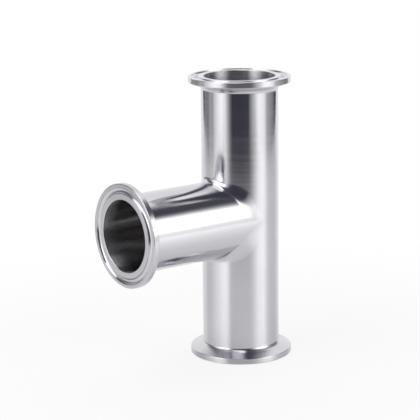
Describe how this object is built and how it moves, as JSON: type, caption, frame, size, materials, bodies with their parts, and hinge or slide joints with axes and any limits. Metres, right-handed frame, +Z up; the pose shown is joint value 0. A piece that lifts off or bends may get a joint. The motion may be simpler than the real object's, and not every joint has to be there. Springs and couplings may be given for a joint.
{
  "type": "sanitary clamp tee",
  "caption": "Equal sanitary tube tee in polished stainless steel, with a grooved clamp ferrule on each end of the run and on the branch.",
  "frame": {"origin": "where the axes of the run and the branch cross, midway up the run", "axes": "+Z up along the run, -Y out along the branch; the tee stands on its lower ferrule's sealing face"},
  "size_m": [0.0506, 0.0953, 0.14],
  "materials": {
    "polished_steel": "mirror polished stainless steel"
  },
  "bodies": {
    "root": {"clamp_tee": "polished_steel"}
  },
  "joints": []
}
